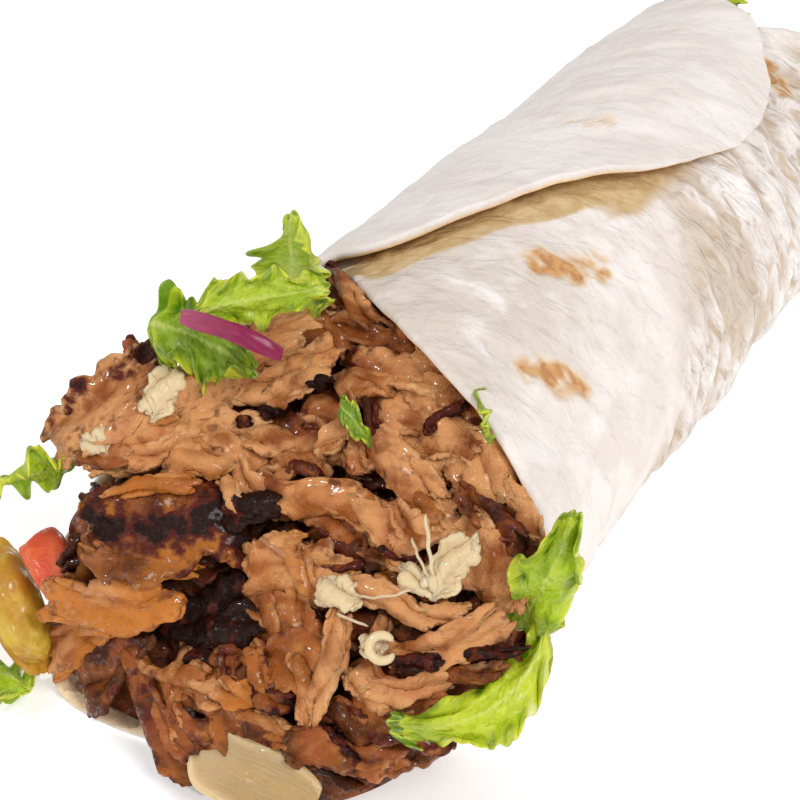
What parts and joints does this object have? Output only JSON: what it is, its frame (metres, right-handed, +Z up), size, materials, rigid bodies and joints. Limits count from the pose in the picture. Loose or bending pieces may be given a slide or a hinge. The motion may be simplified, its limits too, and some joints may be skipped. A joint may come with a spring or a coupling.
{
  "type": "doner kebab wrap",
  "caption": "Flatbread rolled into an open-ended wrap round shaved roast meat, with lettuce, onion, tomato and pickled pepper showing at the mouth.",
  "frame": {"origin": "on the flattened underside of the roll, below its axis, at the height of the floor, in line with the seam's corner at the mouth", "axes": "+Z up from the floor; +Y along the roll from the overflowing mouth to the tail; +X to the right seen from the mouth"},
  "size_m": [0.1154, 0.2486, 0.0899],
  "materials": {
    "flatbread": "floury, dry",
    "roast_meat": "moist, seared",
    "lettuce": "fresh, slightly glossy",
    "red_onion": "glossy",
    "onion": "moist",
    "tomato": "wet, glossy",
    "pickled_pepper": "wet, glossy"
  },
  "bodies": {
    "root": {"tortilla": "flatbread", "meat": "roast_meat", "lettuce_top": "lettuce", "lettuce_left": "lettuce", "lettuce_far_left": "lettuce", "lettuce_low_left": "lettuce", "lettuce_right": "lettuce", "lettuce_low_right": "lettuce", "lettuce_rim": "lettuce", "lettuce_bit": "lettuce", "lettuce_tail": "lettuce", "red_onion_strip": "red_onion", "onion_petal": "onion", "tomato_piece": "tomato", "pickled_pepper": "pickled_pepper", "onion_shred": "onion", "onion_curl": "onion", "onion_bit": "onion"}
  },
  "joints": []
}
